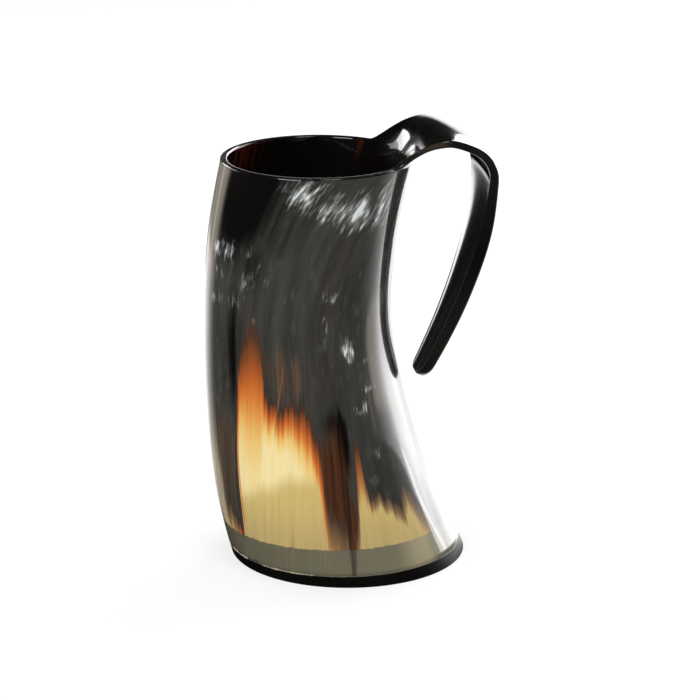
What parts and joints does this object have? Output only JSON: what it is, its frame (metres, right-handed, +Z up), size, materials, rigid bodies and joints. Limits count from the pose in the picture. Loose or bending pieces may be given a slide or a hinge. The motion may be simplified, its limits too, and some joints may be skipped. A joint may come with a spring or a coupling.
{
  "type": "horn drinking mug",
  "caption": "Drinking mug of one piece of cow horn with a bent strap handle, closed by a flat plate and an inner plug at its wide end.",
  "frame": {"origin": "middle of the base plate's underside", "axes": "+Z up to the rim, +X towards the handle, Y across the mug"},
  "size_m": [0.105, 0.0866, 0.1604],
  "materials": {
    "polished_horn": "hand polished, dark with a honey coloured patch",
    "black_horn": "polished black",
    "pale_glue": "matte",
    "plug_wood": "dark stained, sealed",
    "clear_resin": "gloss amber"
  },
  "bodies": {
    "root": {"horn_body": "polished_horn", "base_plate": "black_horn", "glue_line": "pale_glue", "base_plug": "plug_wood", "seal_bead": "clear_resin"}
  },
  "joints": []
}
